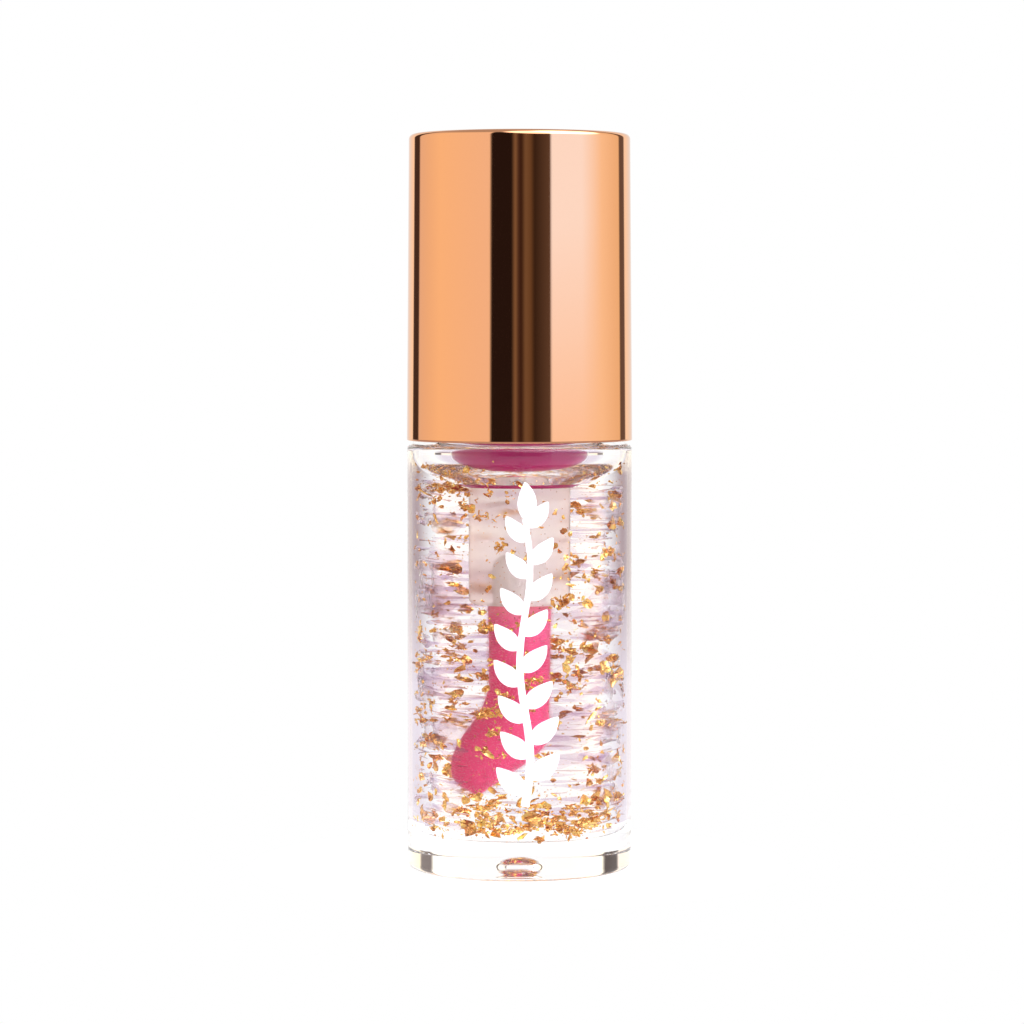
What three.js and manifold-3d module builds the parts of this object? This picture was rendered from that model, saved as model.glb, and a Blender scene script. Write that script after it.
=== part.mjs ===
// Lip gloss tube: a thick-walled clear bottle, closed by a screw cap that carries the applicator wand.
// Millimetres, +Z up, with the origin at the centre of the base. The thread is right-handed, so the
// cap unscrews anticlockwise seen from above. The wand's foot points along -X.
import * as THREE from 'three';
import { mergeVertices } from 'three/addons/utils/BufferGeometryUtils.js';
import Module from 'manifold-3d';

const wasm = await Module();
wasm.setup();

// Driving dimensions
const SEGMENTS = 64; // facets round each turned piece
const ARC_STEPS = 2; // half the facets along each rounded corner
const SEAT_GAP = 0.3; // between pieces that rest on each other

const bottle = {
  radius: 10,
  shoulderZ: 37.8,
  neckRadius: 7,
  neckTopZ: 50.5,
  boreRadius: 6.2,
  floorZ: 3,
  baseFillet: 0.55,
  floorFillet: 0.8,
  edgeFillet: 0.5,
  recessRadius: 8.6,
  recessDepth: 0.35,
  dimpleRadius: 1.45, // the round hollow that the moulding gate leaves under the base
  dimpleDepth: 0.95,
};

const thread = {
  pitch: 2,
  turns: 1.25,
  startZ: 46.3, // height of the neck ridge's lower end
  neckCrest: 7.65,
  capCrest: 7.75,
  capRoot: 8.1,
  rootWidth: 1.1,
  crestWidth: 0.45,
  bite: 0.2, // how far a ridge reaches into the wall that carries it
  fadeAngle: Math.PI / 5,
};

const wiper = {
  outerRadius: 6.05,
  flangeRadius: 6.6,
  flangeThickness: 0.6,
  orificeRadius: 3.03,
  bottomZ: 34,
  wall: 0.7,
  shoulderRadius: 2.2, // of the rounded turn from the tube into the cone
  coneAngle: (28 * Math.PI) / 180, // of the cone's slope above level
};

const capShell = {
  bottomZ: 38.1,
  topZ: 65.2,
  bottomRadius: 10.03,
  topRadius: 9.82, // smaller, for the mould's draft
  wall: 0.8,
  edgeFillet: 0.45,
};

const liner = { innerRadius: 4.6, outerRadius: 8, thickness: 0.8 };

const innerCap = {
  bottomZ: 38.7,
  topZ: 64,
  bottomRadius: 8.7,
  topRadius: 8.55,
  upperBore: 7.9,
  webThickness: 1.2,
  bossRadius: 3.9,
  bossTopZ: 60,
  socketRadius: 2.55,
  ribCount: 12,
  ribHeight: 0.2,
  ribWidth: 0.7,
};

const stem = {
  radius: 2.92,
  bottomZ: 23.6,
  endFillet: 0.6,
  flangeRadius: 4.2,
  flangeThickness: 0.7,
  shankRadius: 2.35,
  headRadius: 2.8,
  headHeight: 1.2,
  boreRadius: 1.7,
  boreDepth: 5,
};

const tip = {
  waistRadius: 1.75,
  waistZ: 16.4,
  spigotRadius: 1.5,
  spigotLength: 4.4,
  flockThickness: 0.45,
  glueGap: 0.15,
  sections: 14,
  facets: 24,
};

// The foot in side view: two outlines of (x, z) that run from the waist to the toe, and its half depth.
const FOOT_BACK = [[-1.75, 16.4], [-2.25, 14.2], [-3.35, 11.8], [-4, 9.5], [-3.7, 7.75], [-2.65, 6.85]];
const FOOT_FACE = [[1.75, 16.4], [1.7, 14], [1.7, 11.8], [0.75, 10.05], [-0.65, 8.55], [-2.15, 6.95]];
const FOOT_DEPTH = [1.75, 1.87, 2.05, 2.1, 1.6, 0.5];

const gloss = {
  clearance: 0.3, // to the bottle's bore and floor
  boreRadius: 4.5, // the foot turns and slides inside it
  floorTopZ: 6.3,
  topZ: 33.65,
};

// Heights that follow from the pieces below them
const flangeBottomZ = bottle.neckTopZ + SEAT_GAP;
const flangeTopZ = flangeBottomZ + wiper.flangeThickness;
const linerBottomZ = flangeTopZ + SEAT_GAP;
const linerTopZ = linerBottomZ + liner.thickness;
const webBottomZ = linerTopZ + SEAT_GAP;
const webTopZ = webBottomZ + innerCap.webThickness;
const stemFlangeTopZ = webBottomZ - SEAT_GAP;
const tipTopZ = stem.bottomZ - SEAT_GAP;

// Geometry helpers

// Turns an outline of radius and height about Z. It runs up the outside and back down the inside.
function turned(path) {
  return new THREE.LatheGeometry(path.getPoints(ARC_STEPS), SEGMENTS).rotateX(Math.PI / 2);
}

// A closed skin over rings of points, each anticlockwise seen from the last ring's side.
function loft(rings) {
  const count = rings[0].length;
  const last = (rings.length - 1) * count;
  const index = [];
  for (let i = 0; i < last; i += count) {
    for (let j = 0; j < count; j++) {
      const next = (j + 1) % count;
      index.push(i + j, i + next, i + count + next);
      index.push(i + j, i + count + next, i + count + j);
    }
  }
  for (let j = 1; j < count - 1; j++) {
    index.push(0, j + 1, j);
    index.push(last, last + j, last + j + 1);
  }
  const geometry = new THREE.BufferGeometry().setFromPoints(rings.flat());
  geometry.setIndex(index);
  geometry.computeVertexNormals();
  return geometry;
}

// A geometry as a manifold-3d solid. Facets that have shrunk to a line on the axis are dropped.
function toSolid(geometry) {
  const bare = geometry.clone();
  bare.deleteAttribute('normal');
  bare.deleteAttribute('uv');
  const merged = mergeVertices(bare);
  const corners = merged.index.array;
  const kept = [];
  for (let i = 0; i < corners.length; i += 3) {
    const [a, b, c] = corners.slice(i, i + 3);
    if (a !== b && b !== c && c !== a) kept.push(a, b, c);
  }
  return new wasm.Manifold(
    new wasm.Mesh({
      numProp: 3,
      vertProperties: merged.attributes.position.array,
      triVerts: new Uint32Array(kept),
    }),
  );
}

function toGeometry(solid) {
  const { vertProperties, triVerts } = solid.getMesh();
  const geometry = new THREE.BufferGeometry();
  geometry.setAttribute('position', new THREE.BufferAttribute(vertProperties, 3));
  geometry.setIndex(new THREE.BufferAttribute(triVerts, 1));
  geometry.computeVertexNormals();
  return geometry;
}

// A thread ridge on a wall of radius root. Its crest lies outside the wall on the neck and inside it
// on the cap, and sinks to the wall at both ends.
function threadRidge(root, crest, startZ) {
  const outward = Math.sign(crest - root);
  const sweep = thread.turns * 2 * Math.PI;
  const steps = Math.round(thread.turns * SEGMENTS);
  const rings = [];
  for (let i = 0; i <= steps; i++) {
    const angle = (sweep * i) / steps;
    const rise = Math.min(1, angle / thread.fadeAngle, (sweep - angle) / thread.fadeAngle);
    const foot = root - outward * thread.bite;
    const top = root + (crest - root) * rise;
    const z = startZ + (thread.pitch * angle) / (2 * Math.PI);
    const section = [
      [foot, z + thread.rootWidth / 2],
      [top, z + thread.crestWidth / 2],
      [top, z - thread.crestWidth / 2],
      [foot, z - thread.rootWidth / 2],
    ];
    if (outward < 0) section.reverse();
    rings.push(section.map(([r, h]) => new THREE.Vector3(r * Math.cos(angle), r * Math.sin(angle), h)));
  }
  return loft(rings);
}

// Pieces

function bottleBody() {
  const { radius, boreRadius, neckRadius, neckTopZ, shoulderZ, floorZ } = bottle;
  const { baseFillet, floorFillet, edgeFillet, recessRadius, recessDepth } = bottle;
  const { dimpleRadius, dimpleDepth } = bottle;
  const path = new THREE.Path();
  path.absellipse(0, recessDepth, dimpleRadius, dimpleDepth, Math.PI / 2, 0, true);
  path.lineTo(recessRadius - recessDepth, recessDepth);
  path.lineTo(recessRadius, 0);
  path.absarc(radius - baseFillet, baseFillet, baseFillet, -Math.PI / 2, 0);
  path.absarc(radius - edgeFillet, shoulderZ - edgeFillet, edgeFillet, 0, Math.PI / 2);
  path.absarc(neckRadius + edgeFillet, shoulderZ + edgeFillet, edgeFillet, -Math.PI / 2, -Math.PI, true);
  path.lineTo(neckRadius, neckTopZ);
  path.lineTo(boreRadius, neckTopZ);
  path.absarc(boreRadius - floorFillet, floorZ + floorFillet, floorFillet, 0, -Math.PI / 2, true);
  path.lineTo(0, floorZ);
  const ridge = threadRidge(neckRadius, thread.neckCrest, thread.startZ);
  return toGeometry(toSolid(turned(path)).add(toSolid(ridge)));
}

// A soft plug in the neck. Its cone narrows to an opening that scrapes the wand as it is drawn out.
function wiperPlug() {
  const { outerRadius, flangeRadius, orificeRadius, bottomZ, wall, shoulderRadius, coneAngle } = wiper;
  const bend = Math.PI / 2 - coneAngle;
  const bendRadius = outerRadius - shoulderRadius;
  const coneTopRadius = bendRadius + shoulderRadius * Math.cos(bend);
  const coneTopZ = bottomZ + (coneTopRadius - orificeRadius) * Math.tan(coneAngle);
  const bendZ = coneTopZ + shoulderRadius * Math.sin(bend);
  const innerRadius = outerRadius - wall;
  const path = new THREE.Path();
  path.moveTo(orificeRadius, bottomZ);
  path.lineTo(coneTopRadius, coneTopZ);
  path.absarc(bendRadius, bendZ, shoulderRadius, -bend, 0);
  path.lineTo(outerRadius, flangeBottomZ);
  path.lineTo(flangeRadius, flangeBottomZ);
  path.lineTo(flangeRadius, flangeTopZ);
  path.lineTo(innerRadius, flangeTopZ);
  path.absarc(bendRadius, bendZ, shoulderRadius - wall, 0, -bend, true);
  path.lineTo(orificeRadius, bottomZ + wall / Math.cos(coneAngle));
  path.closePath();
  return turned(path);
}

// The gloss round the wand: a cup that stays clear of the foot as it turns and is drawn out.
function glossFill() {
  const radius = bottle.boreRadius - gloss.clearance;
  const bottomZ = bottle.floorZ + gloss.clearance;
  const fillet = bottle.floorFillet;
  const path = new THREE.Path();
  path.moveTo(0, bottomZ);
  path.lineTo(radius - fillet, bottomZ);
  path.absarc(radius - fillet, bottomZ + fillet, fillet, -Math.PI / 2, 0);
  path.lineTo(radius, gloss.topZ);
  path.lineTo(gloss.boreRadius, gloss.topZ);
  path.lineTo(gloss.boreRadius, gloss.floorTopZ);
  path.lineTo(0, gloss.floorTopZ);
  return turned(path);
}

function outerShell() {
  const { bottomZ, topZ, bottomRadius, topRadius, wall, edgeFillet } = capShell;
  const path = new THREE.Path();
  path.moveTo(bottomRadius - wall, bottomZ);
  path.lineTo(bottomRadius, bottomZ);
  path.absarc(topRadius - edgeFillet, topZ - edgeFillet, edgeFillet, 0, Math.PI / 2);
  path.lineTo(0, topZ);
  path.lineTo(0, topZ - wall);
  path.lineTo(topRadius - wall, topZ - wall);
  path.closePath();
  return turned(path);
}

function sealingWasher() {
  const path = new THREE.Path();
  path.moveTo(liner.innerRadius, linerBottomZ);
  path.lineTo(liner.outerRadius, linerBottomZ);
  path.lineTo(liner.outerRadius, linerTopZ);
  path.lineTo(liner.innerRadius, linerTopZ);
  path.closePath();
  return turned(path);
}

// The threaded insert of the cap. Its web carries a boss that the wand snaps into.
function threadedInsert() {
  const { bottomZ, topZ, bottomRadius, topRadius, upperBore } = innerCap;
  const { bossRadius, bossTopZ, socketRadius, ribCount, ribHeight, ribWidth } = innerCap;
  const path = new THREE.Path();
  path.moveTo(thread.capRoot, bottomZ);
  path.lineTo(bottomRadius, bottomZ);
  path.lineTo(topRadius, topZ);
  path.lineTo(upperBore, topZ);
  path.lineTo(upperBore, webTopZ);
  path.lineTo(bossRadius, webTopZ);
  path.lineTo(bossRadius, bossTopZ);
  path.lineTo(socketRadius, bossTopZ);
  path.lineTo(socketRadius, webBottomZ);
  path.lineTo(thread.capRoot, webBottomZ);
  path.closePath();
  let solid = toSolid(turned(path));
  solid = solid.add(toSolid(threadRidge(thread.capRoot, thread.capCrest, thread.startZ - thread.pitch / 2)));
  const ribLength = topZ - bottomZ - 2 * ribWidth;
  const ribDepth = ribHeight + thread.bite;
  for (let i = 0; i < ribCount; i++) {
    const rib = new THREE.BoxGeometry(ribDepth, ribWidth, ribLength);
    rib.translate(topRadius - thread.bite + ribDepth / 2, 0, (topZ + bottomZ) / 2);
    rib.rotateZ((2 * Math.PI * (i + 0.5)) / ribCount);
    solid = solid.add(toSolid(rib));
  }
  return toGeometry(solid);
}

function wandStem() {
  const { radius, bottomZ, endFillet, flangeRadius, flangeThickness } = stem;
  const { shankRadius, headRadius, headHeight, boreRadius, boreDepth } = stem;
  const headZ = innerCap.bossTopZ + SEAT_GAP;
  const path = new THREE.Path();
  path.moveTo(0, bottomZ + boreDepth);
  path.lineTo(boreRadius, bottomZ + boreDepth);
  path.lineTo(boreRadius, bottomZ);
  path.absarc(radius - endFillet, bottomZ + endFillet, endFillet, -Math.PI / 2, 0);
  path.lineTo(radius, stemFlangeTopZ - flangeThickness);
  path.lineTo(flangeRadius, stemFlangeTopZ - flangeThickness);
  path.lineTo(flangeRadius, stemFlangeTopZ);
  path.lineTo(shankRadius, stemFlangeTopZ);
  path.lineTo(shankRadius, headZ);
  path.lineTo(headRadius, headZ);
  path.lineTo(shankRadius, headZ + headHeight);
  path.lineTo(0, headZ + headHeight);
  return turned(path);
}

// A level circle of the tip's facets, anticlockwise seen from below.
function tipRing(radius, z) {
  return Array.from({ length: tip.facets }, (_, i) => {
    const angle = (-2 * Math.PI * i) / tip.facets;
    return new THREE.Vector3(radius * Math.cos(angle), radius * Math.sin(angle), z);
  });
}

// The foot's rings from the waist to the toe, each moved in from the outer surface by inset.
function footRings(inset) {
  const back = new THREE.SplineCurve(FOOT_BACK.map(([x, z]) => new THREE.Vector2(x, z)));
  const face = new THREE.SplineCurve(FOOT_FACE.map(([x, z]) => new THREE.Vector2(x, z)));
  const depth = new THREE.SplineCurve(FOOT_DEPTH.map((d, i) => new THREE.Vector2(i, d)));
  const toe = 1 - inset / (tip.waistZ - FOOT_BACK.at(-1)[1]);
  const rings = [];
  for (let i = 0; i <= tip.sections; i++) {
    const along = (toe * i) / tip.sections;
    const from = back.getPoint(along);
    const to = face.getPoint(along);
    const middle = from.clone().add(to).multiplyScalar(0.5);
    const half = to.clone().sub(from).multiplyScalar(0.5);
    half.setLength(half.length() - inset);
    const halfDepth = depth.getPoint(along).y - inset;
    rings.push(
      Array.from({ length: tip.facets }, (_, j) => {
        const angle = (-2 * Math.PI * j) / tip.facets;
        const x = middle.x + half.x * Math.cos(angle);
        const z = middle.y + half.y * Math.cos(angle);
        return new THREE.Vector3(x, halfDepth * Math.sin(angle), z);
      }),
    );
  }
  return rings;
}

// The springy core of the tip, with the spigot that is pressed into the stem.
function tipCore() {
  const inset = tip.flockThickness + tip.glueGap;
  const spigotTopZ = tipTopZ + SEAT_GAP + tip.spigotLength;
  const rings = [
    tipRing(tip.spigotRadius * 0.75, spigotTopZ),
    tipRing(tip.spigotRadius, spigotTopZ - tip.spigotRadius / 2),
    tipRing(tip.spigotRadius, tipTopZ),
    tipRing(tip.waistRadius, tipTopZ),
    tipRing(tip.waistRadius, tipTopZ - SEAT_GAP),
    tipRing(tip.waistRadius - inset, tipTopZ - SEAT_GAP),
  ];
  return loft([...rings, ...footRings(inset)]);
}

// The flock on the tip: a coat of short fibres, open at the top where the core comes out.
function flockCoat() {
  const topZ = tipTopZ - 2 * SEAT_GAP;
  const mouth = tipRing(tip.waistRadius - tip.flockThickness, tipTopZ);
  const outer = loft([tipRing(tip.waistRadius, topZ), ...footRings(0)]);
  const hollow = loft([mouth, ...footRings(tip.flockThickness)]);
  return toGeometry(toSolid(outer).subtract(toSolid(hollow)));
}

// Materials

function plastic(color, roughness, opacity = 1) {
  const transparent = opacity < 1;
  return new THREE.MeshStandardMaterial({ color, roughness, metalness: 0, opacity, transparent });
}

const materials = {
  clearPlastic: plastic(0xf4f2fa, 0.05, 0.35),
  glossGel: plastic(0xf0e2f0, 0.1, 0.4),
  softPlastic: plastic(0xc8407c, 0.4, 0.8),
  roseGold: new THREE.MeshStandardMaterial({ color: 0xe8a070, roughness: 0.1, metalness: 1 }),
  whitePlastic: plastic(0xf2efec, 0.5),
  foam: plastic(0xf6f6f4, 0.8),
  milkyPlastic: plastic(0xf4e2dc, 0.35),
  tipElastomer: plastic(0xf0b0b0, 0.5),
  pinkFlock: plastic(0xe8588c, 1),
};

// Assembly

const object = new THREE.Group();

function place(name, geometry, material) {
  const mesh = new THREE.Mesh(geometry, material.clone());
  mesh.name = name;
  object.add(mesh);
}

place('bottle', bottleBody(), materials.clearPlastic);
place('wiper', wiperPlug(), materials.softPlastic);
place('gloss_fill', glossFill(), materials.glossGel);
place('cap_liner', sealingWasher(), materials.foam);
place('inner_cap', threadedInsert(), materials.whitePlastic);
place('cap_shell', outerShell(), materials.roseGold);
place('wand_stem', wandStem(), materials.milkyPlastic);
place('tip_core', tipCore(), materials.tipElastomer);
place('tip_flock', flockCoat(), materials.pinkFlock);

export default object;
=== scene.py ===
"""Lip gloss tube: a clear bottle of gel with gold leaf in it, a rose gold cap, and a flocked applicator."""

import math
import random

import bpy
import numpy as np
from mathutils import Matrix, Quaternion, Vector


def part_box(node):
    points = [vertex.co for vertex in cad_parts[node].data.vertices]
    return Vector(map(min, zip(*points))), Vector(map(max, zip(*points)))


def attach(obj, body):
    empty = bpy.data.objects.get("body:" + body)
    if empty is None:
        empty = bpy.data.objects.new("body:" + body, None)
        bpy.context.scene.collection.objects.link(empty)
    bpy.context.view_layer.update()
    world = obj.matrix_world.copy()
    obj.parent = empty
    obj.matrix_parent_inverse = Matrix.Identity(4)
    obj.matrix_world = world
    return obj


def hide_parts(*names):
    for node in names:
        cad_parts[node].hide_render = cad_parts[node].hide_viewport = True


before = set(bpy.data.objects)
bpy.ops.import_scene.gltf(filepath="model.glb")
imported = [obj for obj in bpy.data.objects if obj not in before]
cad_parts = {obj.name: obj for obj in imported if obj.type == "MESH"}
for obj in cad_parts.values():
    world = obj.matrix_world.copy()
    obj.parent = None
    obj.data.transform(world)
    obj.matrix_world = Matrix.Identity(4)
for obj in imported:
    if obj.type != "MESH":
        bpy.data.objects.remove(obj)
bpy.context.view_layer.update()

MM = 0.001  # outlines are written in millimetres


def high(node):
    """The highest corner of a CAD node, in mm."""
    return np.array(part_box(node)[1]) / MM


def low(node):
    """The lowest corner of a CAD node, in mm."""
    return np.array(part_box(node)[0]) / MM


# Sizes, in mm. Some are read from the frame, and most others are written out again from the CAD part.
SEAT_GAP = 0.3  # between pieces that rest on each other, and between the CAD's gloss and the bottle
BOTTLE_R = high("bottle")[0]
NECK_TOP = high("bottle")[2]
SEAM_Z = low("cap_shell")[2]
SHOULDER_Z = SEAM_Z - SEAT_GAP
BORE_R = high("gloss_fill")[0] + SEAT_GAP
FLOOR_Z = low("gloss_fill")[2] - SEAT_GAP
BASE_FILLET, FLOOR_FILLET, EDGE_FILLET = 0.55, 0.8, 0.5
RECESS_R, RECESS_DEPTH = 8.6, 0.35
DIMPLE_R, DIMPLE_DEPTH = 1.45, 0.95
NECK_R = 7.0

THREAD_PITCH, THREAD_TURNS, THREAD_Z = 2.0, 1.25, 46.3
NECK_RIDGE = 0.65
RIDGE_ROOT, RIDGE_CREST = 1.1, 0.45  # widths of the ridge
RIDGE_FADE = 0.1  # of a turn, over which each end of the ridge sinks away

WIPER_R = 6.05
WIPER_WALL = 0.7
WIPER_FLANGE_R = high("wiper")[0]
WIPER_TOP = high("wiper")[2]
WIPER_FLANGE_Z = WIPER_TOP - 0.6
WIPER_BOTTOM = low("wiper")[2]
ORIFICE_R = 3.03
BEND_R = 2.2  # of the turn from the wiper's tube into its cone
CONE_ANGLE = 28  # degrees above level
BEND = 90 - CONE_ANGLE
CONE_TOP_R = WIPER_R - BEND_R + BEND_R * math.cos(math.radians(BEND))
CONE_TOP_Z = WIPER_BOTTOM + (CONE_TOP_R - ORIFICE_R) * math.tan(math.radians(CONE_ANGLE))
BEND_Z = CONE_TOP_Z + BEND_R * math.sin(math.radians(BEND))
GEL_TOP = BEND_Z

CAP_TOP = high("cap_shell")[2]
CAP_R = high("cap_shell")[0]
CAP_TOP_R = 9.82
CAP_WALL = 0.8
CAP_FILLET = 0.45
CAP_LIP = 0.08  # radius of its lower edge

STEM_R = 2.92
STEM_BOTTOM = low("wand_stem")[2]
STEM_TOP = high("wand_stem")[2]
STEM_FILLET = 0.6
FLANGE_R, FLANGE_TOP, FLANGE_THICK = high("wand_stem")[0], 52.5, 0.7
SHANK_R, SNAP_R, SNAP_HEIGHT = 2.35, 2.8, 1.2

TIP_TOP = STEM_BOTTOM - 0.05
TIP_STRAIGHT_Z = 19.5  # a ring that keeps the tip straight above the foot
TIP_FLARE = (0.06, 0.1)  # its widening at the top, across and down
WAIST_R = 1.75

# The foot in side view, as outlines of (x, z) from the waist to the toe, and its half depth.
FOOT_BACK = [(-1.75, 16.4), (-2.25, 14.2), (-3.35, 11.8), (-4.0, 9.5), (-3.7, 7.75), (-2.65, 6.85)]
FOOT_FACE = [(1.75, 16.4), (1.7, 14.0), (1.7, 11.8), (0.75, 10.05), (-0.65, 8.55), (-2.15, 6.95)]
FOOT_DEPTH = [1.75, 1.87, 2.05, 2.1, 1.6, 0.5]


# Mesh building


def arc(x, z, radius, start, end, steps=8, tall=None):
    """Points on a circle or upright ellipse, from one angle to another in degrees."""
    tall = radius if tall is None else tall
    angles = [math.radians(start + (end - start) * i / steps) for i in range(steps + 1)]
    return [(x + radius * math.cos(a), z + tall * math.sin(a)) for a in angles]


def held(outline, closed, margin=0.1, least=0.5):
    """The outline with extra points just inside the ends of long stretches, so that they shade straight."""
    points = []
    ends = list(zip(outline, outline[1:] + outline[:1] if closed else outline[1:]))
    for (r0, z0), (r1, z1) in ends:
        points.append((r0, z0))
        length = math.hypot(r1 - r0, z1 - z0)
        if length > least:
            for share in (margin / length, 1 - margin / length):
                points.append((r0 + (r1 - r0) * share, z0 + (z1 - z0) * share))
    return points if closed else points + [outline[-1]]


def make_object(name, vertices, faces, materials, sharp=35, face_materials=None):
    """A smooth-shaded object from vertices in mm."""
    mesh = bpy.data.meshes.new(name)
    mesh.from_pydata([tuple(v) for v in np.asarray(vertices) * MM], [], faces)
    for material in materials:
        mesh.materials.append(material)
    if face_materials is not None:
        mesh.polygons.foreach_set("material_index", face_materials)
    mesh.polygons.foreach_set("use_smooth", [True] * len(mesh.polygons))
    mesh.set_sharp_from_angle(angle=math.radians(sharp))
    mesh.update()
    obj = bpy.data.objects.new(name, mesh)
    bpy.context.scene.collection.objects.link(obj)
    return obj


def turned(name, outline, materials, closed=False, segments=192, swell=None, material_at=None):
    """An outline of (radius, z) turned about Z. It runs up the outside and back down the inside.
    swell(angle, radius, z) moves a point outwards, and material_at(radius, z) picks a face's material."""
    points = held(outline, closed)
    vertices, columns = [], []
    for r, z in points:
        if r < 1e-6:
            columns.append([len(vertices)] * segments)
            vertices.append((0, 0, z))
            continue
        columns.append(range(len(vertices), len(vertices) + segments))
        for i in range(segments):
            angle = 2 * math.pi * i / segments
            radius = r + (swell(angle, r, z) if swell else 0)
            vertices.append((radius * math.cos(angle), radius * math.sin(angle), z))
    faces, indices = [], []
    pairs = list(zip(range(len(points)), range(1, len(points))))
    if closed:
        pairs.append((len(points) - 1, 0))
    for a, b in pairs:
        middle = ((points[a][0] + points[b][0]) / 2, (points[a][1] + points[b][1]) / 2)
        index = material_at(*middle) if material_at else 0
        for i in range(segments):
            j = (i + 1) % segments
            corners = [columns[a][i], columns[a][j], columns[b][j], columns[b][i]]
            faces.append(list(dict.fromkeys(corners)))
            indices.append(index)
    return make_object(name, vertices, faces, materials, face_materials=indices)


def ridge(height, start_z):
    """A swell that raises a helical thread of the given height, which starts at start_z at angle 0."""

    def swell(angle, _, z):
        best = 0.0
        for turn in range(math.ceil(THREAD_TURNS)):
            along = angle / (2 * math.pi) + turn
            if along > THREAD_TURNS:
                continue
            off = abs(z - start_z - THREAD_PITCH * along)
            flank = (RIDGE_ROOT / 2 - off) / (RIDGE_ROOT / 2 - RIDGE_CREST / 2)
            fade = min(along, THREAD_TURNS - along) / RIDGE_FADE
            best = max(best, height * min(1, max(0, flank)) * min(1, fade))
        return best

    return swell


def spline(points, at):
    """A Catmull-Rom curve through points, at a share from 0 to 1 of its length in points."""
    p = np.asarray(points, float)
    t = at * (len(p) - 1)
    i = min(int(t), len(p) - 2)
    t -= i
    p0, p1, p2, p3 = p[max(i - 1, 0)], p[i], p[i + 1], p[min(i + 2, len(p) - 1)]
    a, b = (p2 - p0) / 2, (p3 - p1) / 2
    start = (2 * t**3 - 3 * t**2 + 1) * p1 + (t**3 - 2 * t**2 + t) * a
    return start + (3 * t**2 - 2 * t**3) * p2 + (t**3 - t**2) * b


# Materials


class Tree:
    """A node tree with short ways to add nodes and join them."""

    def __init__(self, node_tree):
        self.nodes = node_tree.nodes
        self.links = node_tree.links

    def node(self, kind, settings=None, **inputs):
        """Adds a node. Inputs are named with _ for a space, or in_0, in_1 by number."""
        node = self.nodes.new(kind)
        for name, value in (settings or {}).items():
            setattr(node, name, value)
        for name, value in inputs.items():
            socket = node.inputs[int(name[3:]) if name.startswith("in_") else name.replace("_", " ")]
            if isinstance(value, bpy.types.NodeSocket):
                self.links.new(value, socket)
            else:
                socket.default_value = value
        return node

    def math(self, operation, *values):
        values = {f"in_{i}": value for i, value in enumerate(values)}
        return self.node("ShaderNodeMath", {"operation": operation}, **values).outputs[0]

    def vector(self, operation, first, second):
        return self.node("ShaderNodeVectorMath", {"operation": operation}, in_0=first, in_1=second)

    def spread(self, value, start, end, smooth=False, to=1.0):
        """The value's share of the way from start to end, from 0 to 1, times the last number."""
        kind = {"interpolation_type": "SMOOTHSTEP" if smooth else "LINEAR"}
        node = self.node("ShaderNodeMapRange", kind, Value=value, From_Min=start, From_Max=end, To_Max=to)
        return node.outputs["Result"]

    def mixed(self, share, first, second):
        """A colour between two, each a socket or (r, g, b)."""
        node = self.node("ShaderNodeMix", {"data_type": "RGBA"}, Factor=share)
        for name, colour in (("A", first), ("B", second)):
            socket = next(s for s in node.inputs if s.name == name and s.type == "RGBA")
            if isinstance(colour, bpy.types.NodeSocket):
                self.links.new(colour, socket)
            else:
                socket.default_value = (*colour, 1)
        return next(s for s in node.outputs if s.type == "RGBA")

    def ramp(self, factor, *stops):
        """Colours or grey levels at shares from 0 to 1."""
        node = self.node("ShaderNodeValToRGB", Fac=factor)
        elements = node.color_ramp.elements
        while len(elements) < len(stops):
            elements.new(0.5)
        for element, (at, value) in zip(elements, stops):
            element.position = at
            element.color = (value,) * 3 + (1,) if isinstance(value, (int, float)) else (*value, 1)
        return node.outputs["Color"]


class Shader(Tree):
    """A material on Blender's main shader."""

    def __init__(self, name):
        self.material = bpy.data.materials.new(name)
        self.material.use_nodes = True
        super().__init__(self.material.node_tree)
        self.bsdf = self.nodes["Principled BSDF"]

    def set(self, **values):
        for name, value in values.items():
            self.bsdf.inputs[name.replace("_", " ")].default_value = value
        return self

    def place(self, stretch=(1, 1, 1)):
        """Object coordinates, stretched."""
        where = self.node("ShaderNodeTexCoord").outputs["Object"]
        return self.node("ShaderNodeMapping", Vector=where, Scale=stretch).outputs["Vector"]

    def noise(self, scale, detail=3.0, stretch=(1, 1, 1), roughness=0.5):
        return self.node(
            "ShaderNodeTexNoise",
            Vector=self.place(stretch),
            Scale=scale,
            Detail=detail,
            Roughness=roughness,
        ).outputs["Fac"]

    def bump(self, height, distance, strength=1.0):
        node = self.node("ShaderNodeBump", Height=height, Distance=distance, Strength=strength)
        self.links.new(node.outputs["Normal"], self.bsdf.inputs["Normal"])
        return self

    def colour(self, socket):
        self.links.new(socket, self.bsdf.inputs["Base Color"])
        return self

    def rough(self, factor, lowest, highest):
        level = self.node("ShaderNodeMapRange", Value=factor, To_Min=lowest, To_Max=highest)
        self.links.new(level.outputs["Result"], self.bsdf.inputs["Roughness"])
        return self


def clear(name, ior, colour=(1, 1, 1)):
    """Clear plastic or gel with a smooth surface."""
    shader = Shader(name)
    shader.set(Base_Color=(*colour, 1), Roughness=0.0, IOR=ior, Transmission_Weight=1.0)
    return shader


PETG_IOR, GEL_IOR = 1.57, 1.55  # the gel's is chosen so that the gold reaches near the sides


def bottle_plastic():
    shader = clear("bottle_plastic", PETG_IOR, (0.99, 0.985, 1.0))
    shader.set(Specular_Tint=(0.4, 0.4, 0.4, 1))
    return shader.bump(shader.noise(160, 2, (1, 1, 0.25)), 0.00001).material


def bore_surface():
    """The wall between plastic and gel, which bends light only as much as the two differ."""
    shader = clear("bore_surface", PETG_IOR / GEL_IOR)
    return shader.bump(shader.noise(300, 3, (0.5, 0.5, 2)), 0.00003).material


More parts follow.
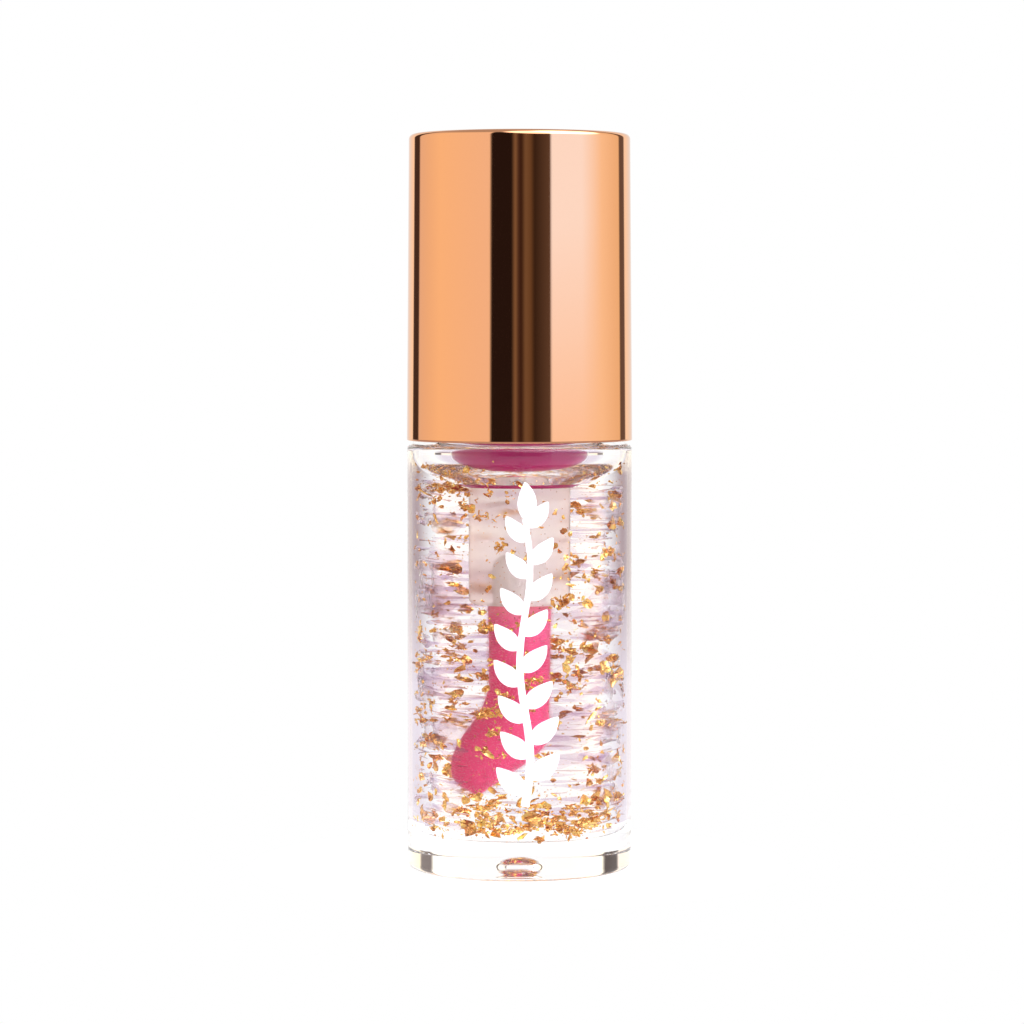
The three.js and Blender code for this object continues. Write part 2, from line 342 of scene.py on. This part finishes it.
def gel_skin():
    """The gel's face on the bore, which bends nothing: bore_surface already does that."""
    return clear("gel_skin", 1.0).material


def gel_surface():
    """The gel's face on air, under the wiper."""
    return clear("gel_surface", GEL_IOR).material


def rose_gold():
    shader = Shader("rose_gold").set(Metallic=1.0, Base_Color=(0.62, 0.315, 0.17, 1))
    shader.rough(shader.noise(400), 0.03, 0.06)
    return shader.bump(shader.noise(120, 2), 0.000004).material


def soft_plastic():
    shader = Shader("soft_plastic").set(
        Base_Color=(0.9, 0.07, 0.3, 1), Roughness=0.25, IOR=1.2, Transmission_Weight=0.35
    )
    return shader.material


def white_plastic():
    shader = Shader("white_plastic").set(Base_Color=(0.88, 0.86, 0.84, 1))
    shader.rough(shader.noise(900), 0.35, 0.5)
    return shader.bump(shader.noise(1500), 0.000006).material


def foam():
    shader = Shader("liner_foam").set(Base_Color=(0.9, 0.9, 0.88, 1), Roughness=0.8)
    return shader.bump(shader.noise(4000), 0.00003).material


def milky_plastic():
    shader = Shader("milky_plastic")
    shader.set(Base_Color=(1.0, 0.89, 0.84, 1), Roughness=0.6, IOR=1.05, Transmission_Weight=0.8)
    return shader.bump(shader.noise(700), 0.000006).material


FLOCK_SHADE_Z = 6.0  # painted shade: the flock is painted lighter at the stem and darker from there down to this height, as light falls from above


def pink_flock():
    shader = Shader("pink_flock")
    height = shader.node("ShaderNodeSeparateXYZ", Vector=shader.place()).outputs["Z"]
    # painted shade: a ramp by height, lighter near the stem and deeper down the foot, with random mottle on
    # top
    painted_shade = shader.spread(height, STEM_BOTTOM * MM, FLOCK_SHADE_Z * MM)
    mottle_and_shade = shader.math("MULTIPLY_ADD", shader.noise(700, 4), 0.12, painted_shade)
    tones = ((0.0, (1.0, 0.42, 0.4)), (0.14, (1.0, 0.16, 0.33)), (0.35, (0.97, 0.09, 0.24)))
    shader.colour(shader.ramp(mottle_and_shade, *tones))
    shader.set(Roughness=0.9, Sheen_Weight=0.6, Sheen_Roughness=0.4, Sheen_Tint=(1, 0.75, 0.85, 1))
    return shader.material


def flock_fibre():
    shader = Shader("flock_fibre").set(Roughness=0.6, Transmission_Weight=0.75, IOR=1.04)
    tones = ((0.3, (1.0, 0.5, 0.62)), (0.7, (1.0, 0.68, 0.74)))
    return shader.colour(shader.ramp(shader.noise(900), *tones)).material


def pearl_and_reflection(name, colour, strength):
    """A faint tinted swirl in the gel: partly pearly haze, partly painted reflection of the pink wiper and
    tip, smeared sideways by the curved wall.
    """
    pale = [1 - 0.4 * strength * (1 - c) for c in colour]
    full = [1 - strength * (1 - c) for c in colour]
    shader = Shader(name).set(Roughness=0.25, IOR=1.04, Transmission_Weight=0.96)
    return shader.colour(shader.ramp(shader.noise(500, 3, (1, 1, 3)), (0.35, pale), (0.65, full))).material


def gold_leaf():
    shader = Shader("gold_leaf").set(Metallic=1.0)
    tones = ((0.3, (0.55, 0.2, 0.09)), (0.5, (0.88, 0.52, 0.17)), (0.7, (1.0, 0.78, 0.26)))
    shader.colour(shader.ramp(shader.noise(900, 3), *tones))
    shader.rough(shader.noise(2500), 0.15, 0.4)
    return shader.bump(shader.noise(3500, 4), 0.00003).material


def white_ink():
    shader = Shader("white_ink").set(Base_Color=(0.95, 0.94, 0.97, 1))
    shader.rough(shader.noise(2000), 0.3, 0.45)
    return shader.bump(shader.noise(5000), 0.000004).material


# Pieces


def dress(node, material):
    """Gives a CAD node that stays in view its real surface."""
    mesh = bpy.data.objects[node].data
    mesh.materials.clear()
    mesh.materials.append(material)


def thread_stretch(low_z, high_z, radius, step=0.09):
    """Close points up a threaded wall."""
    count = round((high_z - low_z) / step)
    return [(radius, low_z + (high_z - low_z) * i / count) for i in range(count + 1)]


def bottle():
    outline = arc(0, RECESS_DEPTH, DIMPLE_R, 90, 0, 10, DIMPLE_DEPTH)
    outline += [(RECESS_R - RECESS_DEPTH, RECESS_DEPTH), (RECESS_R, 0)]
    outline += arc(BOTTLE_R - BASE_FILLET, BASE_FILLET, BASE_FILLET, -90, 0)
    outline += arc(BOTTLE_R - EDGE_FILLET, SHOULDER_Z - EDGE_FILLET, EDGE_FILLET, 0, 90)
    outline += arc(NECK_R + EDGE_FILLET, SHOULDER_Z + EDGE_FILLET, EDGE_FILLET, -90, -180)
    outline += thread_stretch(THREAD_Z - 1, NECK_TOP - 0.4, NECK_R)
    outline += arc(NECK_R - 0.2, NECK_TOP - 0.2, 0.2, 0, 90, 4)
    outline += arc(BORE_R + 0.15, NECK_TOP - 0.15, 0.15, 90, 180, 4)
    outline += [(BORE_R, GEL_TOP)]
    outline += arc(BORE_R - FLOOR_FILLET, FLOOR_Z + FLOOR_FILLET, FLOOR_FILLET, 0, -90)
    outline += [(0, FLOOR_Z)]
    raised = ridge(NECK_RIDGE, THREAD_Z)

    def swell(angle, r, z):
        return raised(angle, r, z) if abs(r - NECK_R) < 0.01 else 0

    def material_at(r, z):
        return 1 if r < BORE_R + 0.001 and FLOOR_Z - 0.001 < z < GEL_TOP else 0

    materials = [bottle_plastic(), bore_surface()]
    obj = turned("bottle_clear", outline, materials, swell=swell, material_at=material_at)
    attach(obj, "bottle")
    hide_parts("bottle")


GEL_INSET = 0.02  # between the bore and the gel's skin
GEL_R = BORE_R - GEL_INSET
AIR_FILM = 0.1
WET_R = 3.9  # the gel touches the wiper within this radius


def wiper_line(inset):
    """The wiper's outer surface from its opening up to its straight tube, moved in through its wall."""
    turn = arc(WIPER_R - BEND_R, BEND_Z, BEND_R - inset, -BEND, 0, 14)
    r, z = turn[0]
    return [(ORIFICE_R, z - (r - ORIFICE_R) * math.tan(math.radians(CONE_ANGLE))), *turn]


def gel():
    """Air is trapped between the gel and the wiper, but the gel wets the wiper close to its opening."""
    bottom_z = FLOOR_Z + GEL_INSET
    outline = [(0, bottom_z)]
    outline += arc(GEL_R - FLOOR_FILLET, bottom_z + FLOOR_FILLET, FLOOR_FILLET, -90, 0)
    slope = math.tan(math.radians(CONE_ANGLE))
    low_z = WIPER_BOTTOM - 2 * GEL_INSET
    wet_z = low_z + (WET_R - ORIFICE_R) * slope
    outline += [(GEL_R, BEND_Z), *wiper_line(-AIR_FILM)[:0:-1]]
    outline += [(WET_R + AIR_FILM, wet_z - AIR_FILM), (WET_R, wet_z), (ORIFICE_R, low_z), (0, low_z)]

    def material_at(r, z):
        return 1 if z > WIPER_BOTTOM - 1 and WET_R < r < GEL_R - 0.001 else 0

    obj = turned("gloss_gel", outline, [gel_skin(), gel_surface()], material_at=material_at)
    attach(obj, "gloss")
    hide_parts("gloss_fill")


def wiper():
    outline = wiper_line(0)
    outline += [(WIPER_R, WIPER_FLANGE_Z), (WIPER_FLANGE_R, WIPER_FLANGE_Z)]
    outline += [(WIPER_FLANGE_R, WIPER_TOP), (WIPER_R - WIPER_WALL, WIPER_TOP)]
    outline += wiper_line(WIPER_WALL)[::-1]
    obj = turned("wiper_plug", outline, [soft_plastic()], closed=True)
    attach(obj, "bottle")
    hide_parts("wiper")


def cap():
    outline = [(CAP_R - CAP_WALL, SEAM_Z + 0.1), (CAP_R - CAP_WALL + 0.1, SEAM_Z)]
    outline += arc(CAP_R - CAP_LIP, SEAM_Z + CAP_LIP, CAP_LIP, -90, 0, 4)
    outline += arc(CAP_TOP_R - CAP_FILLET, CAP_TOP - CAP_FILLET, CAP_FILLET, 0, 90, 10)
    outline += [(0, CAP_TOP)]
    inner = [(0, CAP_TOP - CAP_WALL), (CAP_TOP_R - CAP_WALL, CAP_TOP - CAP_WALL)]
    obj = turned("cap_rose_gold", held(outline, False) + inner + [outline[0]], [rose_gold()])
    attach(obj, "cap")
    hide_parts("cap_shell")


def stem():
    """The rod, with the flange that stops it and the snap head that holds it in the inner cap."""
    outline = [(0, STEM_BOTTOM)]
    outline += arc(STEM_R - STEM_FILLET, STEM_BOTTOM + STEM_FILLET, STEM_FILLET, -90, 0)
    flange_z, snap_z = FLANGE_TOP - FLANGE_THICK, STEM_TOP - SNAP_HEIGHT
    outline += [(STEM_R, flange_z), (FLANGE_R, flange_z), (FLANGE_R, FLANGE_TOP)]
    outline += [(SHANK_R, FLANGE_TOP), (SHANK_R, snap_z), (SNAP_R, snap_z)]
    outline += [(SHANK_R - 0.25, STEM_TOP), (0, STEM_TOP)]
    obj = turned("wand_rod", outline, [milky_plastic()], segments=96)
    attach(obj, "cap")
    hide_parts("wand_stem")


TIP_FACETS = 64
tip_angles = np.linspace(0, -2 * math.pi, TIP_FACETS, endpoint=False)


def foot_depth(along):
    """The foot's half depth, at a share from 0 at the waist to 1 at the toe."""
    return spline([[d] for d in FOOT_DEPTH], along)[0]


def foot_section(along):
    """The ring of points round the foot, at a share from the waist to the toe."""
    back, face = spline(FOOT_BACK, along), spline(FOOT_FACE, along)
    middle, half = (back + face) / 2, (face - back) / 2
    x = middle[0] + half[0] * np.cos(tip_angles)
    z = middle[1] + half[1] * np.cos(tip_angles)
    return np.column_stack([x, foot_depth(along) * np.sin(tip_angles), z])


def tip_rings(sections=48):
    """Rings from the top of the tip, which flares a little, down to the toe."""
    circle = np.column_stack([np.cos(tip_angles), np.sin(tip_angles), 0 * tip_angles])
    wider, lower = TIP_FLARE
    upper = ((TIP_TOP, WAIST_R), (TIP_TOP - lower, WAIST_R + wider), (TIP_STRAIGHT_Z, WAIST_R))
    rings = [circle * r + (0, 0, z) for z, r in upper]
    return rings + [foot_section(i / sections) for i in range(sections + 1)]


def tip():
    rings, facets = tip_rings(), TIP_FACETS
    vertices = np.vstack([*rings, rings[0].mean(0)[None], rings[-1].mean(0)[None]])
    top, toe = len(vertices) - 2, len(vertices) - 1
    last = (len(rings) - 1) * facets
    faces = []
    for k in range(0, last, facets):
        for j in range(facets):
            n = (j + 1) % facets
            faces.append((k + j, k + n, k + facets + n, k + facets + j))
    for j in range(facets):
        n = (j + 1) % facets
        faces.append((top, n, j))
        faces.append((toe, last + j, last + n))
    obj = make_object("tip_velvet", vertices, faces, [pink_flock()])
    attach(obj, "cap")
    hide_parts("tip_flock")
    pile(obj)


FIBRE_R, FIBRE_LENGTHS = 0.015, (0.15, 0.4)
FIBRE_LEAN = 0.45
FIBRE_ROOT = 0.05  # depth that each is rooted in the velvet


def pile(velvet, count=9000):
    """The flock's loose fibres: thin three-sided spikes that stand off the velvet."""
    rng = random.Random(11)
    mesh = velvet.data
    faces = rng.choices(mesh.polygons, [face.area for face in mesh.polygons], k=count)
    vertices, spikes = [], []
    for face in faces:
        a, b, c = (mesh.vertices[v].co / MM for v in rng.sample(list(face.vertices), 3))
        u, v = sorted((rng.random(), rng.random()))
        root = a * u + b * (v - u) + c * (1 - v) - face.normal * FIBRE_ROOT
        lean = (face.normal + FIBRE_LEAN * random_way(rng)).normalized()
        side = lean.orthogonal().normalized() * FIBRE_R
        start = len(vertices)
        for k in range(3):
            vertices.append(root + Quaternion(lean, 2 * math.pi * k / 3) @ side)
        vertices.append(root + lean * rng.uniform(*FIBRE_LENGTHS))
        spikes.extend([start + i for i in spike] for spike in ((0, 2, 1), (0, 1, 3), (1, 2, 3), (2, 0, 3)))
    obj = make_object("tip_pile", vertices, spikes, [flock_fibre()])
    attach(obj, "cap")


def in_foot(point, margin):
    """True if a point in mm lies in the applicator, or within the margin of it."""
    x, y, z = point
    r = math.hypot(x, y)
    if z > STEM_BOTTOM - margin:
        return r < STEM_R + margin
    if z > FOOT_BACK[0][1]:
        return r < WAIST_R + margin
    if z < FOOT_BACK[-1][1] - margin:
        return False
    along = min(1, (FOOT_BACK[0][1] - z) / (FOOT_BACK[0][1] - FOOT_BACK[-1][1]))
    back = np.interp(-z, [-p[1] for p in FOOT_BACK], [p[0] for p in FOOT_BACK])
    face = np.interp(-z, [-p[1] for p in FOOT_FACE], [p[0] for p in FOOT_FACE])
    return back - margin < x < face + margin and abs(y) < foot_depth(along) + margin


CRUMPLE_MIDDLE, CRUMPLE_EDGE = 0.2, 0.17  # shares of a flake's size


def flake(rng, centre, size, normal, vertices, faces):
    """Adds one crumpled scrap of leaf: a closed sheet round a centre, in mm."""
    corners = rng.randint(7, 11)
    side = normal.orthogonal().normalized()
    side.rotate(Quaternion(normal, rng.uniform(0, 2 * math.pi)))
    up = normal.cross(side)
    long = rng.uniform(0.35, 1.0)
    rough = [rng.uniform(0.55, 1.2) for _ in range(corners)]
    sheet = [(0.0, 0.0, rng.uniform(-CRUMPLE_MIDDLE, CRUMPLE_MIDDLE))]
    for ring in (0.5, 1.0):
        for k in range(corners):
            angle = 2 * math.pi * (k + rng.uniform(-0.2, 0.2)) / corners
            reach = ring * rough[k] * rng.uniform(0.85, 1.15)
            crumple = rng.uniform(-CRUMPLE_EDGE, CRUMPLE_EDGE)
            sheet.append((reach * math.cos(angle), long * reach * math.sin(angle), crumple))
    start = len(vertices)
    thick = 0.01 + 0.02 * size
    for offset in (thick, -thick):
        for a, b, c in sheet:
            vertices.append(Vector(centre) + size * (side * a + up * b + normal * c) + normal * offset)
    other = len(sheet)
    for k in range(corners):
        n = (k + 1) % corners
        a, b, c, d = 1 + k, 1 + n, 1 + corners + k, 1 + corners + n
        for tri in ((0, a, b), (a, c, d), (a, d, b)):
            faces.append([start + v for v in tri])
            faces.append([start + other + v for v in reversed(tri)])
        faces.append([start + c, start + other + c, start + other + d, start + d])


def speck(rng, centre, size, vertices, faces):
    """Adds one grain of gold dust: a lumpy octahedron, in mm."""
    start = len(vertices)
    for axis in range(3):
        for way in (1, -1):
            point = Vector(centre)
            point[axis] += way * size * rng.uniform(0.5, 1.2)
            vertices.append(point)
    for a, b, c in ((0, 2, 4), (2, 1, 4), (1, 3, 4), (3, 0, 4), (2, 0, 5), (1, 2, 5), (3, 1, 5), (0, 3, 5)):
        faces.append([start + a, start + b, start + c])


def random_way(rng):
    return Vector((rng.gauss(0, 1), rng.gauss(0, 1), rng.gauss(0, 1))).normalized()


def gel_ceiling(r):
    """The height that flakes stay under at a radius: below the wiper."""
    return np.interp(r, [ORIFICE_R, CONE_TOP_R, WIPER_R], [WIPER_BOTTOM, CONE_TOP_Z, BEND_Z])


WAND_MARGIN = 0.35  # from a flake to the velvet, for the loose fibres
WAND_RISES = (1, 2, 3)
REACH_OUT, REACH_DOWN, REACH_UP, REACH_WAND = 0.7, 0.6, 0.8, 0.8  # shares of a flake's size


def free(point, size):
    """True if a flake of this size may lie here: in the gel, and clear of the wand at rest and in a few
    turned and raised positions. The longest corners of a flake may still pass the gel's skin."""
    x, y, z = point
    r = math.hypot(x, y)
    inside = r + size * REACH_OUT < GEL_R
    inside = inside and FLOOR_Z + size * REACH_DOWN < z < gel_ceiling(r) - size * REACH_UP
    wands = [(x, y, z)] + [(side * x, side * y, z - rise) for side in (1, -1) for rise in WAND_RISES]
    return inside and not any(in_foot(place, size * REACH_WAND + WAND_MARGIN) for place in wands)


def in_gel(rng, nearest_wall):
    """A random place in the gel. The power brings places nearer the wall."""
    angle = rng.uniform(0, 2 * math.pi)
    r = GEL_R * rng.uniform(0.02, 1) ** nearest_wall
    return Vector((r * math.cos(angle), r * math.sin(angle), rng.uniform(FLOOR_Z, BEND_Z)))


def flake_size(rng, middle, spread, most):
    return min(middle * math.exp(rng.gauss(0, spread)), most)


def add_flake(rng, batch, at, size, normal):
    if free(at, size):
        flake(rng, at, size, normal, *batch)


def clump(rng, batch, middle, spread, count):
    """Scatters small flakes round a middle."""
    for _ in range(count):
        at = middle + Vector((rng.gauss(0, spread), rng.gauss(0, spread), rng.gauss(0, spread * 0.7)))
        add_flake(rng, batch, at, flake_size(rng, 0.2, 0.5, 0.6), random_way(rng))


def wall_flakes(rng, batch, count=420):
    """Flakes that lie flat against the bore."""
    for _ in range(count):
        at = in_gel(rng, 0.5)
        outward = Vector((at.x, at.y, 0)).normalized()
        size = flake_size(rng, 0.26, 0.6, 0.95)
        at.xy = outward.xy * (GEL_R - size * REACH_OUT - 0.02)
        add_flake(rng, batch, at, size, (outward + 0.3 * random_way(rng)).normalized())


def loose_flakes(rng, batch, count=420):
    for _ in range(count):
        size = flake_size(rng, 0.17, 0.65, 1.0)
        add_flake(rng, batch, in_gel(rng, 0.5), size, random_way(rng))


def clumped_flakes(rng, batch, count=115):
    for _ in range(count):
        clump(rng, batch, in_gel(rng, 0.3), rng.uniform(0.18, 0.5), rng.randint(6, 28))


def settled_flakes(rng, batch, count=21):
    """Clumps that have sunk to the floor."""
    for _ in range(count):
        middle = in_gel(rng, 0.45)
        middle.z = FLOOR_Z + rng.uniform(0.4, 2.2)
        clump(rng, batch, middle, rng.uniform(0.3, 0.6), rng.randint(8, 22))


def dust(rng, batch, count=3000):
    for _ in range(count):
        at, size = in_gel(rng, 0.5), rng.uniform(0.02, 0.07)
        if free(at, size):
            speck(rng, at, size, *batch)


GOLD = {
    "wall": wall_flakes,
    "loose": loose_flakes,
    "clumps": clumped_flakes,
    "settled": settled_flakes,
    "dust": dust,
}


def gold_flakes():
    rng = random.Random(7)
    material = gold_leaf()
    for kind, scatter in GOLD.items():
        vertices, faces = [], []
        scatter(rng, (vertices, faces))
        obj = make_object(f"gold_{kind}", vertices, faces, [material], sharp=25)
        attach(obj, "gloss")


def swirl(rng, r, z, middle, width, height, vertices, faces, along=28):
    """Adds one curved, tapering wisp to the gel, in mm: a closed band of four-sided section."""
    start = len(vertices)
    drift, phase = rng.uniform(-0.3, 0.3) * height, rng.uniform(0, 2 * math.pi)
    for i in range(along + 1):
        t = i / along
        angle = middle + width * (t - 0.5)
        fill = 0.03 + math.sin(math.pi * t) ** 0.6 * (0.75 + 0.25 * math.sin(9 * t + phase))
        level = z + drift * (t - 0.5) + 0.12 * height * math.sin(5 * t + phase)
        for dr, dz in ((0, 0.5), (0.05, 0), (0, -0.5), (-0.05, 0)):
            radius = r + dr * fill
            x, y = radius * math.sin(angle), -radius * math.cos(angle)
            vertices.append((x, y, level + dz * height * fill))
    for i in range(along):
        for k in range(4):
            n = (k + 1) % 4
            a, b = start + 4 * i, start + 4 * (i + 1)
            faces.append((a + k, a + n, b + n, b + k))
    last = start + 4 * along
    faces.append((start + 3, start + 2, start + 1, start))
    faces.append((last, last + 1, last + 2, last + 3))


SWIRL_GAP = 38  # degrees to each side of the front that the swirls leave clear


def swirls():
    """The streaks that lie round the gel, close to the wall: partly pearly haze, partly painted reflection
    of the pink wiper and tip, smeared sideways by the curved wall.
    """
    rng = random.Random(5)
    # name, colour, strength, count, heights in mm and widths in degrees
    kinds = (
        ("swirl_haze", (0.88, 0.74, 0.86), 0.42, 110, (0.8, 3.5), (25, 70)),
        ("swirl_lilac", (0.76, 0.62, 0.78), 0.7, 260, (0.12, 0.7), (15, 60)),
        ("swirl_mauve", (0.68, 0.4, 0.42), 0.8, 180, (0.05, 0.3), (8, 40)),
    )
    for name, colour, strength, count, heights, widths in kinds:
        vertices, faces = [], []
        for _ in range(count):
            height = rng.uniform(*heights)
            place = (rng.uniform(4.9, GEL_R - 0.1), rng.uniform(FLOOR_Z + height, GEL_TOP - 2 - height))
            width = math.radians(rng.uniform(*widths))
            clear_front = math.radians(SWIRL_GAP) + width / 2
            turn = rng.uniform(clear_front, 2 * math.pi - clear_front)
            swirl(rng, *place, turn, width, height, vertices, faces)
        obj = make_object(name, vertices, faces, [pearl_and_reflection(name, colour, strength)])
        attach(obj, "gloss")


def ribbon(centre, width, along=24, across=6, thick=0.025):
    """A raised patch of ink on the bottle, as vertices and faces. centre(t) and width(t), in mm, run from
    0 to 1 along it: centre gives the distance round the bottle from its front and the height."""
    top, bottom = [], []
    for i in range(along + 1):
        t = i / along
        here = np.array(centre(t))
        step = np.array(centre(min(t + 0.01, 1))) - np.array(centre(max(t - 0.01, 0)))
        side = np.array([-step[1], step[0]]) / np.hypot(*step)
        for j in range(across + 1):
            u, z = here + side * width(t) * (j / across - 0.5)
            for points, r in ((top, BOTTLE_R + thick), (bottom, BOTTLE_R - 0.01)):
                points.append((r * math.sin(u / BOTTLE_R), -r * math.cos(u / BOTTLE_R), z))
    row, count = across + 1, (along + 1) * (across + 1)
    faces = []
    for i in range(along):
        for j in range(across):
            a, b, c, d = i * row + j, i * row + j + 1, (i + 1) * row + j + 1, (i + 1) * row + j
            faces.append((a, b, c, d))
            faces.append((a + count, d + count, c + count, b + count))
    rim = list(range(row)) + [i * row + across for i in range(1, along + 1)]
    rim += [along * row + j for j in range(across - 1, -1, -1)] + [i * row for i in range(along - 1, 0, -1)]
    for a, b in zip(rim, rim[1:] + rim[:1]):
        faces.append((b, a, a + count, b + count))
    return top + bottom, faces


INK_X = 0.45  # the print's middle, in mm round the bottle from its front
INK_LOW, INK_HIGH = 6.6, 34.8
TOP_LEAF = 3.2


def stalk(t):
    """The stalk's middle line, from its foot to the leaf at its top."""
    top = INK_HIGH - TOP_LEAF
    return INK_X + 0.45 * math.sin(2 * math.pi * 1.5 * t), INK_LOW + (top - INK_LOW) * t


def leaf(root, angle, length, wide):
    """A leaf that leaves its root at an angle in degrees from upright, as vertices and faces."""
    turn = math.radians(angle)

    def centre(t):
        bend = 0.18 * math.sin(math.pi * t) * math.copysign(1, angle)
        return (
            root[0] + length * t * math.sin(turn) + bend * math.cos(turn),
            root[1] + length * t * math.cos(turn) - bend * math.sin(turn),
        )

    return ribbon(centre, lambda t: 0.05 + wide * math.sin(math.pi * t**0.8) ** 0.8)


def sprig(pairs=8):
    """A plain white leafy sprig printed up the front of the bottle, in pairs that get smaller upwards."""
    patches = [ribbon(stalk, lambda t: 0.75 - 0.3 * t, along=60, across=3)]
    for k in range(pairs):
        t = (k + 0.6) / pairs
        for way in (-1, 1):
            root = stalk(t + 0.025 * way)
            patches.append(leaf(root, way * (52 - 10 * t), 3.5 - 0.7 * t, 1.75 - 0.35 * t))
    patches.append(leaf(stalk(1), 0.1, TOP_LEAF, 1.6))
    vertices, faces = [], []
    for points, patch_faces in patches:
        faces += [[len(vertices) + v for v in face] for face in patch_faces]
        vertices += points
    obj = make_object("leaf_print", vertices, faces, [white_ink()])
    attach(obj, "bottle")


# Studio. Heights in it are sines of the angle above level, and turns are degrees from the front.

LAMPS = (((0.65, -0.3, 0.72), 4.0), ((0.3, -0.68, 0.67), 3.5))  # overhead lamps: direction and strength
CEILING = (0.75, 0.7, 0.68)
LOW_WALL, HIGH_WALL = (0.84, 0.76, 0.84), (0.42, 0.31, 0.33)  # beneath the soft boxes
SIDES = (148, 142)  # the white backdrop's edges
WALL_FADE = (122, 144)  # over which the walls pale towards the backdrop
WALL_EDGE = (-0.036, -0.046)  # height at which the soft boxes end and the walls begin
WALL_SHADES = (-0.105, -0.07)  # heights of the low and the high wall colour
BOX_SHADES = (-0.03, 0.04)  # heights of the right box's two colours
CEILING_EDGE = (0.55, 0.8)
LAMP_EDGE = (0.82, 0.92)  # cosines of the angle from a lamp's direction
LEFT_BOX = (
    (-140, (0.09, 0.06, 0.05)),
    (-127, (0.09, 0.06, 0.05)),
    (-125, (1.26, 1.07, 0.9)),
    (-90, (1.55, 1.36, 1.04)),
    (-31, (1.46, 1.33, 1.22)),
)
DARK_GAP = (
    (-29, (0.03, 0.02, 0.02)),
    (-8, (0.03, 0.02, 0.02)),
    (-4.5, (0.36, 0.27, 0.18)),
    (-1, (0.1, 0.06, 0.05)),
    (2, (0.06, 0.03, 0.02)),
    (6, (0.28, 0.21, 0.14)),
    (11, (0.22, 0.15, 0.09)),
    (15, (0.06, 0.04, 0.03)),
    (31, (0.17, 0.13, 0.11)),
)
RIGHT_BOX_HIGH, RIGHT_BOX_LOW = (1.6, 2.15, 3.1), (1.6, 1.55, 1.5)
RIGHT_END = (
    (94, (1.55, 1.52, 1.37)),
    (124, (1.33, 1.13, 0.8)),
    (126, (0.22, 0.17, 0.15)),
    (137, (0.22, 0.17, 0.15)),
)


def room_ring(right_box):
    """The room's colours round the object, at shares of a turn from behind it."""
    ring = [(-180, (1, 1, 1)), (-160, (1.1, 1.05, 1.0)), (-142, (1.5, 1.35, 1.1)), *LEFT_BOX, *DARK_GAP]
    ring += [(33, right_box), (67, right_box), *RIGHT_END]
    ring += [(139, (1.5, 1.4, 1.2)), (160, (1.1, 1.05, 1.0)), (180, (1, 1, 1))]
    return [((angle + 180) / 360, colour) for angle, colour in ring]


def studio():
    """The room: a white backdrop, a soft box on each side, a dark gap behind the camera and lamps above.
    The camera itself sees plain white."""
    world = bpy.data.worlds.new("studio")
    bpy.context.scene.world = world
    world.use_nodes = True
    tree = Tree(world.node_tree)
    way = tree.node("ShaderNodeTexCoord").outputs["Generated"]
    split = tree.node("ShaderNodeSeparateXYZ", Vector=way)
    height = split.outputs["Z"]
    turn = tree.math("ARCTAN2", split.outputs["X"], tree.math("MULTIPLY", split.outputs["Y"], -1))
    share = tree.spread(turn, -math.pi, math.pi)
    rings = [tree.ramp(share, *room_ring(box)) for box in (RIGHT_BOX_LOW, RIGHT_BOX_HIGH)]
    light = tree.mixed(tree.spread(height, *BOX_SHADES), *rings)
    aside = tree.math("ABSOLUTE", turn)
    wall = tree.mixed(tree.spread(height, *WALL_SHADES), LOW_WALL, HIGH_WALL)
    wall = tree.mixed(tree.spread(aside, *np.radians(WALL_FADE), smooth=True), wall, (1, 1, 1))
    sides = tree.spread(aside, *np.radians(SIDES), smooth=True)
    beneath = tree.spread(height, *WALL_EDGE, smooth=True)
    light = tree.mixed(tree.math("MULTIPLY", sides, beneath), light, wall)
    light = tree.mixed(tree.spread(height, *CEILING_EDGE, smooth=True), light, CEILING)
    for direction, strength in LAMPS:
        aim = Vector(direction).normalized()
        near = tree.vector("DOT_PRODUCT", way, aim).outputs["Value"]
        glow = tree.spread(near, *LAMP_EDGE, smooth=True, to=strength)
        light = tree.vector("ADD", light, glow).outputs["Vector"]
    seen = tree.node("ShaderNodeLightPath").outputs["Is Camera Ray"]
    tree.links.new(tree.mixed(seen, light, (1, 1, 1)), tree.nodes["Background"].inputs["Color"])


FLOOR_R = 24  # small, so that the bottle's sides show the walls down to its base


def floor(sides=96):
    shader = Shader("floor_white")
    shader.set(Base_Color=(0.16, 0.16, 0.16, 1), Roughness=1.0, Specular_IOR_Level=0.0)
    shader.set(Emission_Color=(1, 1, 1, 1), Emission_Strength=0.92)
    turns = [2 * math.pi * i / sides for i in range(sides)]
    rim = [(FLOOR_R * math.cos(a), FLOOR_R * math.sin(a), 0) for a in turns]
    obj = make_object("floor", rim, [tuple(range(sides))], [shader.material])


CAMERA_PLACE = (-0.00067, -0.316, 0.04895)
CAMERA_LENS = 124.77
CAMERA_DIP = 3.13  # degrees below level


def camera():
    data = bpy.data.cameras.new("camera")
    data.lens = CAMERA_LENS
    cam = bpy.data.objects.new("camera", data)
    cam.location = CAMERA_PLACE
    cam.rotation_euler = (math.radians(90 - CAMERA_DIP), 0, 0)
    bpy.context.scene.collection.objects.link(cam)
    bpy.context.scene.camera = cam


def render_settings():
    scene = bpy.context.scene
    scene.view_settings.view_transform = "Standard"
    scene.cycles.max_bounces = 32
    scene.cycles.transmission_bounces = 32
    scene.cycles.transparent_max_bounces = 32
    scene.cycles.glossy_bounces = 8


dress("inner_cap", white_plastic())
dress("cap_liner", foam())
dress("tip_core", white_plastic())
bottle()
gel()
wiper()
cap()
stem()
tip()
gold_flakes()
swirls()
sprig()
studio()
floor()
camera()
render_settings()
